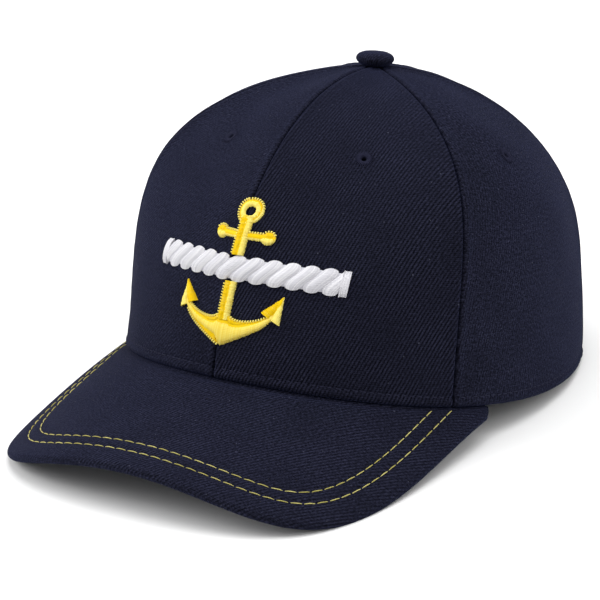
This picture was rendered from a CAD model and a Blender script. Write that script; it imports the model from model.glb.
# %% [markdown]
# A navy skipper cap, lying on a table by itself. Six cloth panels meet under a covered button,
# a stiff peak is bent round to the front, and an anchor with a rope is embroidered on the
# front seam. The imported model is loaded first: it fixes where everything goes and how big the
# cap is, and each cell after it makes one piece of the cap to look like the real one.

import math
import random

import bpy
import numpy as np
from mathutils import Matrix, Vector


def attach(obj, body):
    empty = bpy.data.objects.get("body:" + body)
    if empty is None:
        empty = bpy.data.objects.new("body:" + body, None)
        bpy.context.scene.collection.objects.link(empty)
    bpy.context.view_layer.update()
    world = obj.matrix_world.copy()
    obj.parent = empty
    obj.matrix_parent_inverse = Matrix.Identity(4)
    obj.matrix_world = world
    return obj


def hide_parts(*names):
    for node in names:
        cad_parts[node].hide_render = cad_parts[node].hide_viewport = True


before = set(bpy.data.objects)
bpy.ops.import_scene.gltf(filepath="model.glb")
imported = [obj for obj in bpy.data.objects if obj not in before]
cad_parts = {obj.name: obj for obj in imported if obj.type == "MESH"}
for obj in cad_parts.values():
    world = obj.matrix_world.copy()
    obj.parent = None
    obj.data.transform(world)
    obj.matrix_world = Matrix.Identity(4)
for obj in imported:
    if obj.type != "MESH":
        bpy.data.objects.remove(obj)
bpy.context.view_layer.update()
BODY = "root"
MM = 0.001

# %% [markdown]
# The cap is drawn as it sits on a head, with its button straight up, in millimetres. On the
# table it leans back, because the low corners of the peak and the back of the hem carry it.
# One small function turns places on the cap into places on the table, in metres.

# %% From the cap to the table
LEAN = math.radians(9.0627)
SHIFT = np.array([0, 26.868, 8.115])


def turned(directions):
    """Directions on the upright cap as directions on the table."""
    x, y, z = np.moveaxis(np.asarray(directions, float), -1, 0)
    backward = y * math.cos(LEAN) + z * math.sin(LEAN)
    upward = z * math.cos(LEAN) - y * math.sin(LEAN)
    return np.stack([x, backward, upward], -1)


def on_table(points):
    """Places on the upright cap, in millimetres, as places on the table, in metres."""
    return (turned(points) + SHIFT) * MM


def upright(points):
    """Places on the table, in metres, as places on the upright cap, in millimetres."""
    x, y, z = np.moveaxis(np.asarray(points, float) / MM - SHIFT, -1, 0)
    backward = y * math.cos(LEAN) - z * math.sin(LEAN)
    upward = y * math.sin(LEAN) + z * math.cos(LEAN)
    return np.stack([x, backward, upward], -1)


print("leans back by", round(math.degrees(LEAN), 2), "degrees")

# %% [markdown]
# Seams, rims and rows of stitches are all lines of places. These helpers measure along such a
# line, find the places at given distances along it, and make directions one long.

# %% Measuring along lines


def unit(directions):
    return directions / np.maximum(np.linalg.norm(directions, axis=-1, keepdims=True), 1e-9)


def arcs_along(line):
    """How far along a line each of its places is."""
    return np.concatenate([[0], np.cumsum(np.linalg.norm(np.diff(line, axis=0), axis=1))])


def lerp(a, b, share):
    return a + (b - a) * share


def at_arcs(line, arcs, at):
    """The places on a line at distances along it, where arcs are those of its own places."""
    return np.stack([np.interp(at, arcs, line[:, i]) for i in (0, 1)], -1)


print("round a unit square:", arcs_along([(0, 0), (1, 0), (1, 1), (0, 1), (0, 0)])[-1])

# %% [markdown]
# The crown is one formula. Four stations round the cap give the curve from hem to button, and
# a cosine series joins them smoothly. The angle starts at the front seam, a seam comes at each
# sixth of a turn, and the level runs from 0 at the hem to 1 under the button. Real panels pull
# nearly straight between their seams, so the chord of each sixth flattens the round plan.

# %% The crown's shape
# Lengths are in millimetres. Each row of stations holds its values at the front seam, at the
# two seams of one side, and at the back seam.
HALF_WIDTH = 84.5
HALF_LENGTH = 100.8
CROWN_HEIGHT = 112.3
APEX_Y = 1.0
WALL = 1.6
GAP = 0.3
SIDE_SEAM = (59.8, 67.2)
SIXTH = math.pi / 3
STATIONS = {
    "spread": (0.888, 1.398, 1.042, 0.97),
    "rise": (1.071, 0.411, 0.651, 0.934),
    "hem": (7.7, 0.3, 0.4, 7.4),
    "belly": (-1.06, 0.0, -1.44, 0.7),
    "flat": (0.7, 0.7, 0.55, 0.25),
}


def station(key, theta):
    a, b, c, d = STATIONS[key]
    even, once = (a + d + 2 * (b + c)) / 6, (a - d + b - c) / 3
    twice, thrice = (a + d - b - c) / 3, (a - d - 2 * (b - c)) / 6
    return even + once * np.cos(theta) + twice * np.cos(2 * theta) + thrice * np.cos(3 * theta)


def crown(theta, level):
    """Places on the crown's outer face."""
    theta, level = np.broadcast_arrays(np.asarray(theta, float), np.asarray(level, float))
    level = np.clip(level, 0, 1)
    spread, rise, hem = (station(key, theta) for key in ("spread", "rise", "hem"))
    climb = np.arcsin(level ** (1 / rise)) * 2 / math.pi
    seam = np.radians(SIDE_SEAM[0] + (SIDE_SEAM[1] - SIDE_SEAM[0]) * climb)
    turn = np.abs(theta)
    behind = seam + (turn - SIXTH) * (math.pi - seam) / (2 * SIXTH)
    plan = np.sign(theta) * np.where(turn < SIXTH, turn * seam / SIXTH, behind)
    between = (theta / SIXTH - np.floor(theta / SIXTH) - 0.5) * SIXTH
    chord = math.cos(SIXTH / 2) / np.cos(between)
    out = np.maximum(1 - level ** (2 / rise), 0) ** (spread / 2)
    out = out * (1 - station("flat", theta) * level * (1 - chord))
    out = out + station("belly", theta) / 100 * np.sin(math.pi * np.clip(level / 0.6, 0, 1)) ** 2
    return np.stack([
        HALF_WIDTH * np.sin(plan) * out,
        APEX_Y - (HALF_LENGTH * np.cos(plan) + APEX_Y) * out,
        hem + (CROWN_HEIGHT - hem) * level,
    ], -1)


def crown_normal(theta, level):
    step = 0.004
    level = np.asarray(level, float)
    across = crown(theta + step, level) - crown(theta - step, level)
    along = crown(theta, np.minimum(level + step, 0.9999)) - crown(theta, np.maximum(level - step, 0))
    return unit(np.cross(across, along))


def off_crown(theta, level, distance):
    """Places off the crown's outer face, outside where distance is above zero."""
    return crown(theta, level) + crown_normal(theta, level) * np.asarray(distance, float)[..., None]


print("crown", 2 * HALF_WIDTH, "by", 2 * HALF_LENGTH, "mm,", CROWN_HEIGHT, "mm high")

# %% [markdown]
# Some small helpers serve every piece. A piece starts as a primitive. Its points are then
# moved to their places by a rule, its modifiers are applied, and it is made to ride on the
# cap and to stand for the plain solid that it replaces.

# %% Helpers for making pieces
INSIDE_THE_CAP = Vector((0, 0.02, 0.04))
SMOOTH_ANGLE = math.radians(50)


def deselect():
    if bpy.context.object and bpy.context.object.mode != "OBJECT":
        bpy.ops.object.mode_set(mode="OBJECT")
    bpy.ops.object.select_all(action="DESELECT")


def pick(obj):
    deselect()
    obj.select_set(True)
    bpy.context.view_layer.objects.active = obj
    return obj


def apply_modifier(obj, kind, **settings):
    pick(obj)
    modifier = obj.modifiers.new(kind.lower(), kind)
    for key, value in settings.items():
        setattr(modifier, key, value)
    bpy.ops.object.modifier_apply(modifier=modifier.name)


def points_of(mesh):
    flat = np.zeros(len(mesh.vertices) * 3)
    mesh.vertices.foreach_get("co", flat)
    return flat.reshape(-1, 3)


def move_points(mesh, places):
    mesh.vertices.foreach_set("co", np.asarray(places, float).ravel())
    mesh.update()


def lay_weave(mesh, weave):
    """Gives each point of a mesh its place on the flat cloth, in millimetres."""
    layer = mesh.uv_layers[0] if mesh.uv_layers else mesh.uv_layers.new()
    layer.name = "weave"
    corners = np.zeros(len(mesh.loops), int)
    mesh.loops.foreach_get("vertex_index", corners)
    layer.data.foreach_set("uv", weave[corners].ravel())


def grid_sheet(name, columns, rows, rule):
    """A grid of cloth. rule turns shares across and along, 0 to 1, into places and weave."""
    deselect()
    bpy.ops.mesh.primitive_grid_add(x_subdivisions=columns, y_subdivisions=rows, size=2)
    obj = bpy.context.active_object
    obj.name = name
    shares = (points_of(obj.data)[:, :2] + 1) / 2
    places, weave = rule(shares[:, 0], shares[:, 1])
    move_points(obj.data, on_table(places))
    lay_weave(obj.data, weave)
    return obj


def relay_inner_face(obj, columns, rows, rule, skipped_rows=0):
    """Moves the inner face of a solidified grid of cloth to its own places."""
    spots = points_of(obj.data)
    number = np.arange(len(spots) // 2)
    x, y = number % (columns + 1) / columns, number // (columns + 1) / rows
    chosen = y * rows > skipped_rows - 0.5
    places = on_table(rule(x, y)[0])
    moved = np.linalg.norm(places - spots[len(number):], axis=1)[chosen].max() / MM
    spots[len(number):][chosen] = places[chosen]
    move_points(obj.data, spots)
    print(obj.name, "inner face moved by up to", round(float(moved), 2), "mm")


def face_outwards(obj):
    """Turns an open sheet over if its faces look towards the inside of the cap."""
    facing = sum((p.center - INSIDE_THE_CAP).dot(p.normal) for p in obj.data.polygons)
    if facing < 0:
        obj.data.flip_normals()


def thicken(obj, thickness):
    """Gives an open sheet a thickness in millimetres, behind its face."""
    apply_modifier(obj, "SOLIDIFY", thickness=thickness * MM, offset=-1, use_even_offset=False)


def settle(obj, material, slot, *nodes):
    """Presses a finished piece flat on the table, shades it smooth and adds it to the cap."""
    spots = points_of(obj.data)
    spots[:, 2] = np.maximum(spots[:, 2], 0)
    move_points(obj.data, spots)
    pick(obj)
    bpy.ops.object.shade_smooth_by_angle(angle=SMOOTH_ANGLE)
    obj.data.materials.clear()
    obj.data.materials.append(material)
    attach(obj, BODY)
    if nodes:
        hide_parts(*nodes)
    print(obj.name, len(obj.data.polygons), "faces")
    return obj


print("pieces of the packed model in the scene:", len(bpy.data.meshes))

# %% [markdown]
# The camera stands where the photograph was taken from, worked out from the seams, the hem
# and the outline of the peak. It was found for the upright cap, so it leans with the cap. The
# view is aimed at the middle of the picture, so the lens needs no shift.

# %% The camera
PHOTO_SIZE = 600
FOCAL_PIXELS = 2963
AXIS_PIXEL = (364.6, 211.8)
CAMERA = {"azimuth": 30.85, "elevation": 11.52, "roll": 3.43, "distance": 1153.5, "look_z": 55}


def place_camera():
    az, el, roll = (math.radians(CAMERA[key]) for key in ("azimuth", "elevation", "roll"))
    back = np.array([math.sin(az) * math.cos(el), -math.cos(az) * math.cos(el), math.sin(el)])
    level_right = np.array([math.cos(az), math.sin(az), 0.0])
    level_up = np.cross(back, level_right)
    right = level_right * math.cos(roll) + level_up * math.sin(roll)
    up = level_up * math.cos(roll) - level_right * math.sin(roll)
    eye = back * CAMERA["distance"] + np.array([0, 0, CAMERA["look_z"]])
    centre = PHOTO_SIZE / 2
    slide = (centre - AXIS_PIXEL[0]) / FOCAL_PIXELS
    drop = (centre - AXIS_PIXEL[1]) / FOCAL_PIXELS
    aim = Vector(turned(-back + right * slide - up * drop)).normalized()
    side = Vector(turned(right))
    side = (side - aim * side.dot(aim)).normalized()
    turn = Matrix((side, side.cross(aim), -aim)).transposed()
    data = bpy.data.cameras.new("camera")
    camera = bpy.data.objects.new("camera", data)
    bpy.context.collection.objects.link(camera)
    camera.matrix_world = Matrix.Translation(Vector(on_table(eye))) @ turn.to_4x4()
    data.sensor_width = 36
    data.lens = data.sensor_width * FOCAL_PIXELS / PHOTO_SIZE
    data.clip_start = 0.05
    data.clip_end = 20
    bpy.context.scene.camera = camera
    return camera


camera = place_camera()
print("camera at", [round(v, 3) for v in camera.location], "lens", round(camera.data.lens, 1))

# %% [markdown]
# Every material here is a few nodes that feed one surface. One small function adds a node with
# its settings and links, so each finish below reads as a list from its pattern to its surface.

# %% Adding nodes


def hex_colour(code):
    """An sRGB hex colour as linear red, green, blue and alpha."""
    parts = [int(code[i:i + 2], 16) / 255 for i in (1, 3, 5)]
    return (*[p / 12.92 if p <= 0.04045 else ((p + 0.055) / 1.055) ** 2.4 for p in parts], 1.0)


def add_node(tree, kind, settings=None, **inputs):
    """Adds a node. settings set its properties, inputs its sockets by name or by number."""
    made = tree.nodes.new(kind)
    for key, value in (settings or {}).items():
        setattr(made, key, value)
    for key, value in inputs.items():
        socket = made.inputs[int(key[1:])] if key[0] == "_" else made.inputs[key.replace("_", " ")]
        if isinstance(value, bpy.types.NodeSocket):
            tree.links.new(value, socket)
        else:
            socket.default_value = value
    return made


def new_material(name):
    material = bpy.data.materials.new(name)
    material.use_nodes = True
    material.node_tree.nodes.clear()
    return material, material.node_tree


print("middle grey is", round(hex_colour("#808080")[0], 3), "in linear light")

# %% [markdown]
# The floor is a wide sheet of matt white studio paper: no shine, and only a fine grain, which
# is drawn about a millimetre wide, coarser than real paper, so that it can show at all.

# %% Floor


def paper_floor():
    material, tree = new_material("studio_paper")
    place = add_node(tree, "ShaderNodeTexCoord")
    grain = add_node(tree, "ShaderNodeTexNoise", Vector=place.outputs["Object"], Scale=900.0, Detail=3.0)
    bump = add_node(tree, "ShaderNodeBump", Height=grain.outputs[0], Strength=0.05, Distance=0.0002)
    surface = add_node(tree, "ShaderNodeBsdfPrincipled", Normal=bump.outputs[0],
                       Base_Color=hex_colour("#f4f4f4"), Roughness=0.9)
    add_node(tree, "ShaderNodeOutputMaterial", Surface=surface.outputs[0])
    return material


deselect()
bpy.ops.mesh.primitive_plane_add(size=12, location=(0, 0, 0))
floor = bpy.context.active_object
floor.name = "floor"
floor.data.materials.append(paper_floor())
print("floor", tuple(round(side) for side in floor.dimensions[:2]), "metres")

# %% [markdown]
# A pale studio: a big soft light at the left, a weaker one behind at the right and one above.
# The large lamps light the cap's sides more than its front, as in the photograph, and leave
# only a faint shadow under it. The white surroundings fill the shadows.

# %% Lights
LAMPS = [
    {"name": "left", "at": (-1.9, -1.0, 1.4), "size": 1.6, "watts": 46},
    {"name": "right", "at": (2.0, 0.5, 1.2), "size": 1.6, "watts": 14},
    {"name": "top", "at": (0.2, 0.2, 2.0), "size": 1.8, "watts": 34},
]
LAMPS_AIM = Vector((0, 0, 0.05))
SURROUND = 0.52


def add_lamp(name, at, size, watts):
    data = bpy.data.lights.new(name, "AREA")
    data.size = size
    data.energy = watts
    lamp = bpy.data.objects.new(name, data)
    bpy.context.collection.objects.link(lamp)
    lamp.location = at
    lamp.rotation_euler = (LAMPS_AIM - Vector(at)).to_track_quat("-Z", "Y").to_euler()


for lamp in LAMPS:
    add_lamp(**lamp)
world = bpy.data.worlds.new("studio")
bpy.context.scene.world = world
world.use_nodes = True
background = world.node_tree.nodes["Background"]
background.inputs["Color"].default_value = hex_colour("#ffffff")
background.inputs["Strength"].default_value = SURROUND
bpy.context.scene.view_settings.view_transform = "Standard"
print("lamps", [lamp["name"] for lamp in LAMPS])

# %% [markdown]
# Wool-mix twill: yarns that pass over two or three others in steps, so that the cloth shows
# slanting ribs a little over a millimetre apart. The ribs follow the piece's own weave
# coordinates, which are real millimetres along the cloth. A second wave across the ribs breaks
# them into yarns, and noise raises a brushed nap that hides the ribs in places. A little blue
# sheen gives the soft bloom of wool, and a few pale specks are lint.

# %% Twill cloth
WAVE_UNIT = 2 * math.pi / 20
LINT = "#565868"
BLOOM = "#404a7c"
NO_FADE = (900, 901)


def ribs_and_yarns(tree, weave, rib_angle, rib_spacing):
    """Two waves over the weave: the slanting ribs, and the yarns that break them."""
    turn = math.radians(90 - rib_angle)
    ribs_at = add_node(tree, "ShaderNodeMapping", Vector=weave, Rotation=(0, 0, turn)).outputs[0]
    ribs = add_node(tree, "ShaderNodeTexWave", {"bands_direction": "X"}, Vector=ribs_at,
                    Scale=WAVE_UNIT / rib_spacing, Distortion=0.8, Detail=1.0, Detail_Scale=2.0)
    yarns = add_node(tree, "ShaderNodeTexWave", {"bands_direction": "Y"}, Vector=weave,
                     Scale=WAVE_UNIT / (rib_spacing * 0.6), Distortion=0.6, Detail=1.0)
    return ribs.outputs["Fac"], yarns.outputs["Fac"]


def rib_share(tree, weave, cloud, clear, fade):
    """How much of the ribs shows: less in soft patches, and less again up the cloth."""
    shown = add_node(tree, "ShaderNodeMapRange", Value=cloud, From_Min=0.35, From_Max=0.65,
                     To_Min=0.45 * clear, To_Max=clear)
    along = add_node(tree, "ShaderNodeSeparateXYZ", Vector=weave).outputs["Y"]
    faded = add_node(tree, "ShaderNodeMapRange", Value=along, From_Min=fade[0], From_Max=fade[1],
                     To_Min=1.0, To_Max=0.3)
    return add_node(tree, "ShaderNodeMath", {"operation": "MULTIPLY"},
                    _0=shown.outputs[0], _1=faded.outputs[0]).outputs[0]


def cloth_height(tree, weave, share, ribs, yarns, clear):
    """The height of the cloth's face, and the middle of its range: ribs and yarns under nap."""
    nap = 0.95 - 0.45 * clear
    grain = add_node(tree, "ShaderNodeTexNoise", Vector=weave, Scale=1.5, Detail=2.0, Roughness=0.7)
    fuzz = add_node(tree, "ShaderNodeMapRange", Value=grain.outputs[0], From_Min=0.36, From_Max=0.64,
                    To_Min=0.0, To_Max=1.0)
    ribbed = add_node(tree, "ShaderNodeMix", Factor=share, _2=0.5, _3=ribs)
    stepped = add_node(tree, "ShaderNodeMath", {"operation": "MULTIPLY_ADD"},
                       _0=yarns, _1=0.3 * clear, _2=ribbed.outputs[0])
    height = add_node(tree, "ShaderNodeMath", {"operation": "MULTIPLY_ADD"},
                      _0=fuzz.outputs[0], _1=nap, _2=stepped.outputs[0])
    return height.outputs[0], 0.5 + 0.15 * clear + 0.5 * nap


def mottled(tree, weave, cloud, colour, clear):
    """A colour made uneven by small blotches and soft patches, with pale specks of lint."""
    blotchy = 0.75 - 0.45 * clear
    mottle = add_node(tree, "ShaderNodeTexNoise", Vector=weave, Scale=0.9, Detail=1.5, Roughness=0.6)
    blotch = add_node(tree, "ShaderNodeMapRange", Value=mottle.outputs[0],
                      From_Min=0.35, From_Max=0.65, To_Min=1 - blotchy, To_Max=1 + blotchy)
    patch = add_node(tree, "ShaderNodeMapRange", Value=cloud,
                     From_Min=0.3, From_Max=0.7, To_Min=0.85, To_Max=1.15)
    value = add_node(tree, "ShaderNodeMath", {"operation": "MULTIPLY"},
                     _0=blotch.outputs[0], _1=patch.outputs[0])
    uneven = add_node(tree, "ShaderNodeHueSaturation", Color=colour, Value=value.outputs[0])
    lint = add_node(tree, "ShaderNodeTexNoise", Vector=weave, Scale=0.8, Detail=0.0)
    specks = add_node(tree, "ShaderNodeMapRange", Value=lint.outputs[0],
                      From_Min=0.83, From_Max=0.87, To_Min=0.0, To_Max=0.4)
    return add_node(tree, "ShaderNodeMix", {"data_type": "RGBA"}, Factor=specks.outputs[0],
                    _6=uneven.outputs[0], _7=hex_colour(LINT)).outputs[2]


def twill(name, colours, rib_angle, rib_spacing=1.27, rib_height=0.25, clear=1.0, fade=NO_FADE):
    """Twill with its ribs at rib_angle degrees from sideways.

    clear is how well the ribs show, and fade is where they give way to nap, along the weave."""
    material, tree = new_material(name)
    weave = add_node(tree, "ShaderNodeUVMap", {"uv_map": "weave"}).outputs[0]
    cloud = add_node(tree, "ShaderNodeTexNoise", Vector=weave, Scale=0.06, Detail=3.0).outputs[0]
    ribs, yarns = ribs_and_yarns(tree, weave, rib_angle, rib_spacing)
    share = rib_share(tree, weave, cloud, clear, fade)
    height, middle = cloth_height(tree, weave, share, ribs, yarns, clear)
    shade = add_node(tree, "ShaderNodeMapRange", Value=height,
                     From_Min=middle - 0.55, From_Max=middle + 0.55, To_Min=0.0, To_Max=1.0)
    tone = add_node(tree, "ShaderNodeMix", {"data_type": "RGBA"}, Factor=shade.outputs[0],
                    _6=hex_colour(colours[0]), _7=hex_colour(colours[1]))
    colour = mottled(tree, weave, cloud, tone.outputs[2], clear)
    bump = add_node(tree, "ShaderNodeBump", Height=height, Strength=0.9, Distance=rib_height * MM)
    surface = add_node(tree, "ShaderNodeBsdfPrincipled", Base_Color=colour, Normal=bump.outputs[0],
                       Roughness=0.9, Specular_IOR_Level=0.04, Sheen_Weight=0.26,
                       Sheen_Roughness=0.5, Sheen_Tint=hex_colour(BLOOM))
    add_node(tree, "ShaderNodeOutputMaterial", Surface=surface.outputs[0])
    return material


# %% The cloths
NAVY = ("#020205", "#222332")
CROWN_FADE = (85, 140)
TWILLS = {
    "front_left": twill("twill_front_left", NAVY, 65, fade=CROWN_FADE),
    "front_right": twill("twill_front_right", NAVY, 45, clear=0.55, fade=CROWN_FADE),
    "side": twill("twill_side", NAVY, 74, rib_height=0.15, clear=0.45, fade=CROWN_FADE),
    "back": twill("twill_back", NAVY, 65, clear=0.6, fade=CROWN_FADE),
    "peak": twill("twill_peak", NAVY, -56, rib_height=0.18, clear=0.7),
    "button": twill("twill_button", NAVY, 85, rib_spacing=1.0, rib_height=0.12, clear=0.7),
    "strap": twill("twill_strap", NAVY, 65),
    "band": twill("cotton_band", ("#0a0c15", "#1b1f30"), 90, rib_spacing=0.9, rib_height=0.1),
}
print("twills", sorted(TWILLS))

# %% [markdown]
# Each crown panel is cut like the slice of an orange. A grid gives it enough points for the
# small forms that make it read as sewn cloth: the edge rolls down into each seam and swells a
# little beside it, where the turned allowance lies under the cloth, the hem is folded up and
# stitched, and the whole panel is softly uneven. Solidify then gives the wall its thickness,
# and its inner face is laid back on the plain crown, so that only the outer face is folded. The
# inner faces of two panels press together, and their outer faces leave the dark seam line.

# %% Crown panels
PANELS = {"front_left": 0, "side_left": 1, "back_left": 2,
          "back_right": -3, "side_right": -2, "front_right": -1}
PANEL_COLUMNS = 96
PANEL_ROWS = 120
TOP_HOLE = 3.0
SEAM_GAPS = {"outer": 0.6, "inner": -0.08}
SEAM = {"roll": 0.85, "swell": 0.3, "swell_at": 1.6, "swell_width": 1.3}
HEM = {"fold": 3.9, "swell": 0.35, "swell_at": 2.0, "swell_width": 1.3,
       "groove": 0.25, "groove_width": 0.7, "round": 1.5, "pitch": 3.1}


def bell(distance, width):
    return np.exp(-(distance / width) ** 2)


def roll(distance, radius):
    """How far an edge has rolled down, at a distance from it: a quarter of a circle."""
    return radius * (1 - np.sqrt(1 - np.clip(1 - distance / radius, 0, 1) ** 2))


def seam_relief(from_seam, arc, sixth):
    """The edge rolls down into its seam, and swells beside it over the turned allowance."""
    pucker = 1 + 0.1 * np.sin(arc / 1.6 + 5 * np.sin(arc / 17 + sixth))
    swell = SEAM["swell"] * bell(from_seam - SEAM["swell_at"], SEAM["swell_width"])
    return swell * pucker - roll(from_seam, SEAM["roll"])


def hem_relief(above, along):
    """The folded hem is full, its edge is round, and its stitches draw a groove above it."""
    swell = HEM["swell"] * bell(above - HEM["swell_at"], HEM["swell_width"])
    stitched = 1 + 0.35 * np.sin(2 * math.pi * along / HEM["pitch"])
    groove = HEM["groove"] * bell(above - HEM["fold"], HEM["groove_width"]) * stitched
    return swell - groove - roll(above, HEM["round"])


def soft_dents(theta, arc):
    """The slow unevenness of sewn cloth, in millimetres: none at the hem or under the button."""
    waves = 0.22 * np.sin(3.1 * theta + arc / 19) * np.sin(arc / 27 + 1.3)
    waves += 0.16 * np.sin(7.3 * theta - arc / 13 + 0.7)
    waves += 0.1 * np.sin(13.7 * theta + arc / 9 + 2.1)
    return waves * np.clip(arc / 12, 0, 1) * np.clip((150 - arc) / 30, 0, 1)


print("a seam's edge rolls down by", SEAM["roll"], "mm, the hem's by", HEM["round"], "mm")

# %% [markdown]
# A panel's rule turns shares across and up its grid into places on the crown. Points crowd at
# both seams and at the hem, where the forms are smallest. The relief moves them in or out along
# the crown's normal, and the weave coordinates are lengths measured along the cloth.

# %% How a panel lies
LEVEL_STEPS = 400
SOFT_EDGE = 8


def arc_table(theta):
    """Levels and the arc lengths up the crown to them, at one angle."""
    levels = np.sin(np.linspace(0, math.pi / 2, LEVEL_STEPS))
    line = crown(np.full(LEVEL_STEPS, theta), levels)
    kept = np.hypot(line[:, 0], line[:, 1] - APEX_Y) > TOP_HOLE
    return levels[kept], arcs_along(line[kept])


def panel_rule(sixth):
    """The rule for one panel. Its columns crowd at the seams and its rows at the hem."""
    start = sixth * SIXTH
    levels, arcs = arc_table(start + SIXTH / 2)

    def rule(x, y, inner=False):
        across = x - 0.93 * np.sin(2 * math.pi * x) / (2 * math.pi)
        arc = arcs[-1] * (0.14 * y + 0.86 * y ** 1.8)
        level = np.interp(arc, arcs, levels)
        nominal = start + SIXTH * across
        flat = crown(nominal, level)
        gap = SEAM_GAPS["inner" if inner else "outer"]
        theta = nominal + (0.5 - across) * gap / np.hypot(flat[:, 0], flat[:, 1] - APEX_Y)
        ends = [crown(np.full_like(level, start + SIXTH * end), level) for end in (0, 1)]
        width = np.linalg.norm(ends[1] - ends[0], axis=1) * 1.03
        from_seam = np.minimum(across, 1 - across) * width
        relief = seam_relief(from_seam, arc, sixth) * np.clip(width / SOFT_EDGE, 0, 1)
        relief += hem_relief(level * (CROWN_HEIGHT - station("hem", nominal)), across * width)
        relief += soft_dents(nominal, arc) * np.clip(from_seam / SOFT_EDGE, 0, 1)
        off = np.full_like(relief, -WALL) if inner else relief
        places = crown(theta, level) + crown_normal(nominal, level) * off[:, None]
        return places, np.stack([(across - 0.5) * width, arc], -1)

    return rule


print("up a front panel", round(arc_table(SIXTH / 2)[1][-1], 1), "mm along the cloth")

# %% [markdown]
# Every panel has one small hole for air, high up near its middle line. It is punched out of the
# finished wall with a cylinder, and the eyelet sewn round it comes later.

# %% Eyelet holes
EYELETS = {
    "front": {"angle": 32, "level": 0.764},
    "side": {"angle": 82, "level": 0.786},
    "back": {"angle": 150, "level": 0.77},
}
EYELET_HOLE = 2.0
PUNCH_DEPTH = 12


def cut(obj, cutter):
    apply_modifier(obj, "BOOLEAN", operation="DIFFERENCE", object=cutter, solver="MANIFOLD")
    bpy.data.objects.remove(cutter)


def eyelet_place(panel_name):
    """The angle and level of a panel's hole."""
    where, side = panel_name.split("_")
    angle = EYELETS[where]["angle"] * (1 if side == "left" else -1)
    return math.radians(angle), EYELETS[where]["level"]


def eyelet_punch(panel_name):
    theta, level = eyelet_place(panel_name)
    centre = Vector(on_table(crown(theta, level)))
    normal = Vector(turned(crown_normal(theta, level)))
    deselect()
    bpy.ops.mesh.primitive_cylinder_add(vertices=28, radius=EYELET_HOLE * MM, depth=PUNCH_DEPTH * MM)
    punch = bpy.context.active_object
    punch.matrix_world = Matrix.Translation(centre) @ normal.to_track_quat("Z", "Y").to_matrix().to_4x4()
    return punch


print("holes of", 2 * EYELET_HOLE, "mm")

# %% [markdown]
# At the back an arch is cut through both panels, so that the strap can change the size. A block
# with the arch's outline takes the cloth away.

# %% The back arch
ARCH = {"half_width": 41, "height": 44, "leg": 0.3, "below": 3, "block": (40.0, 90)}


def arch_line(inset, count):
    """The back arch seen from behind: half an ellipse on short legs, from side to side."""
    leg = ARCH["height"] * ARCH["leg"]
    low = station("hem", math.pi)
    half_width = ARCH["half_width"] - inset
    bow = ARCH["height"] - leg - inset
    turn = np.linspace(0, math.pi, count)
    foot = [low - ARCH["below"]]
    x = np.concatenate([[half_width], half_width * np.cos(turn), [-half_width]])
    z = np.concatenate([foot, low + leg + bow * np.sin(turn), foot])
    return x, z


def arch_block():
    """A block with the arch's outline that reaches through the back of the crown."""
    x, z = arch_line(0, 60)
    start, depth = ARCH["block"]
    deselect()
    bpy.ops.mesh.primitive_circle_add(vertices=len(x), fill_type="NGON")
    block = bpy.context.active_object
    move_points(block.data, on_table(np.stack([x, np.full_like(x, start), z], -1)))
    bpy.ops.object.mode_set(mode="EDIT")
    bpy.ops.mesh.select_all(action="SELECT")
    reach = Vector(turned([0, 1, 0])) * depth * MM
    bpy.ops.mesh.extrude_region_move(TRANSFORM_OT_translate={"value": reach})
    bpy.ops.mesh.select_all(action="SELECT")
    bpy.ops.mesh.normals_make_consistent(inside=False)
    bpy.ops.object.mode_set(mode="OBJECT")
    return block


print("arch", 2 * ARCH["half_width"], "mm wide and", ARCH["height"], "mm high")

# %% [markdown]
# Now each panel is made and cut. The two in front have a twill each, because the ribs lie
# flatter and show less on one side of the front seam. The others share one for each pair.

# %% Make the panels


def make_panel(name, sixth):
    rule = panel_rule(sixth)
    obj = grid_sheet("panel_" + name, PANEL_COLUMNS, PANEL_ROWS, rule)
    face_outwards(obj)
    thicken(obj, WALL)
    relay_inner_face(obj, PANEL_COLUMNS, PANEL_ROWS, lambda x, y: rule(x, y, inner=True))
    if name.startswith("back"):
        cut(obj, arch_block())
    cut(obj, eyelet_punch(name))
    cloth = TWILLS.get(name) or TWILLS[name.split("_")[0]]
    settle(obj, cloth, "navy_twill", name.replace("_", "_panel_"))


for name, sixth in PANELS.items():
    make_panel(name, sixth)

# %% [markdown]
# The peak is a flat board bent round a leaning cylinder, so a place on it is given as it would
# be on the flat board. The front edge is a squared half of an ellipse. A lip lies flat under the
# hem, and the board rises to meet it. Both faces roll into the round rim, and two rows of
# stitches near it draw the cloth down into shallow grooves.

# %% The peak
PEAK = {
    "root_y": -46.4, "root_z": 25.9, "bend": 134.9, "half_width": 87.9, "reach": 116.1,
    "squareness": 3.96, "thickness": 3.4, "end_angle": 70, "blend": 45, "lip": 3.7, "ends": 0.9996,
}
SLOPE = math.radians(20.3)
DOWN, AHEAD = math.sin(SLOPE), math.cos(SLOPE)


def board(across, forward):
    """Places on the upper face of the bent board."""
    turn = np.asarray(across, float) / PEAK["bend"]
    drop = PEAK["bend"] * (1 - np.cos(turn))
    return np.stack([
        PEAK["bend"] * np.sin(turn),
        PEAK["root_y"] - forward * AHEAD + drop * DOWN,
        PEAK["root_z"] - forward * DOWN - drop * AHEAD,
    ], -1)


def board_normal(across):
    turn = np.asarray(across, float) / PEAK["bend"]
    return np.stack([np.sin(turn), -np.cos(turn) * DOWN, np.cos(turn) * AHEAD], -1)


def on_board(points):
    """Where on the flat board places in plan lie."""
    across = PEAK["bend"] * np.arcsin(points[..., 0] / PEAK["bend"])
    drop = PEAK["bend"] * (1 - np.cos(across / PEAK["bend"]))
    return across, (PEAK["root_y"] - points[..., 1] + drop * DOWN) / AHEAD


print("board", 2 * PEAK["half_width"], "mm wide before it is bent")

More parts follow.
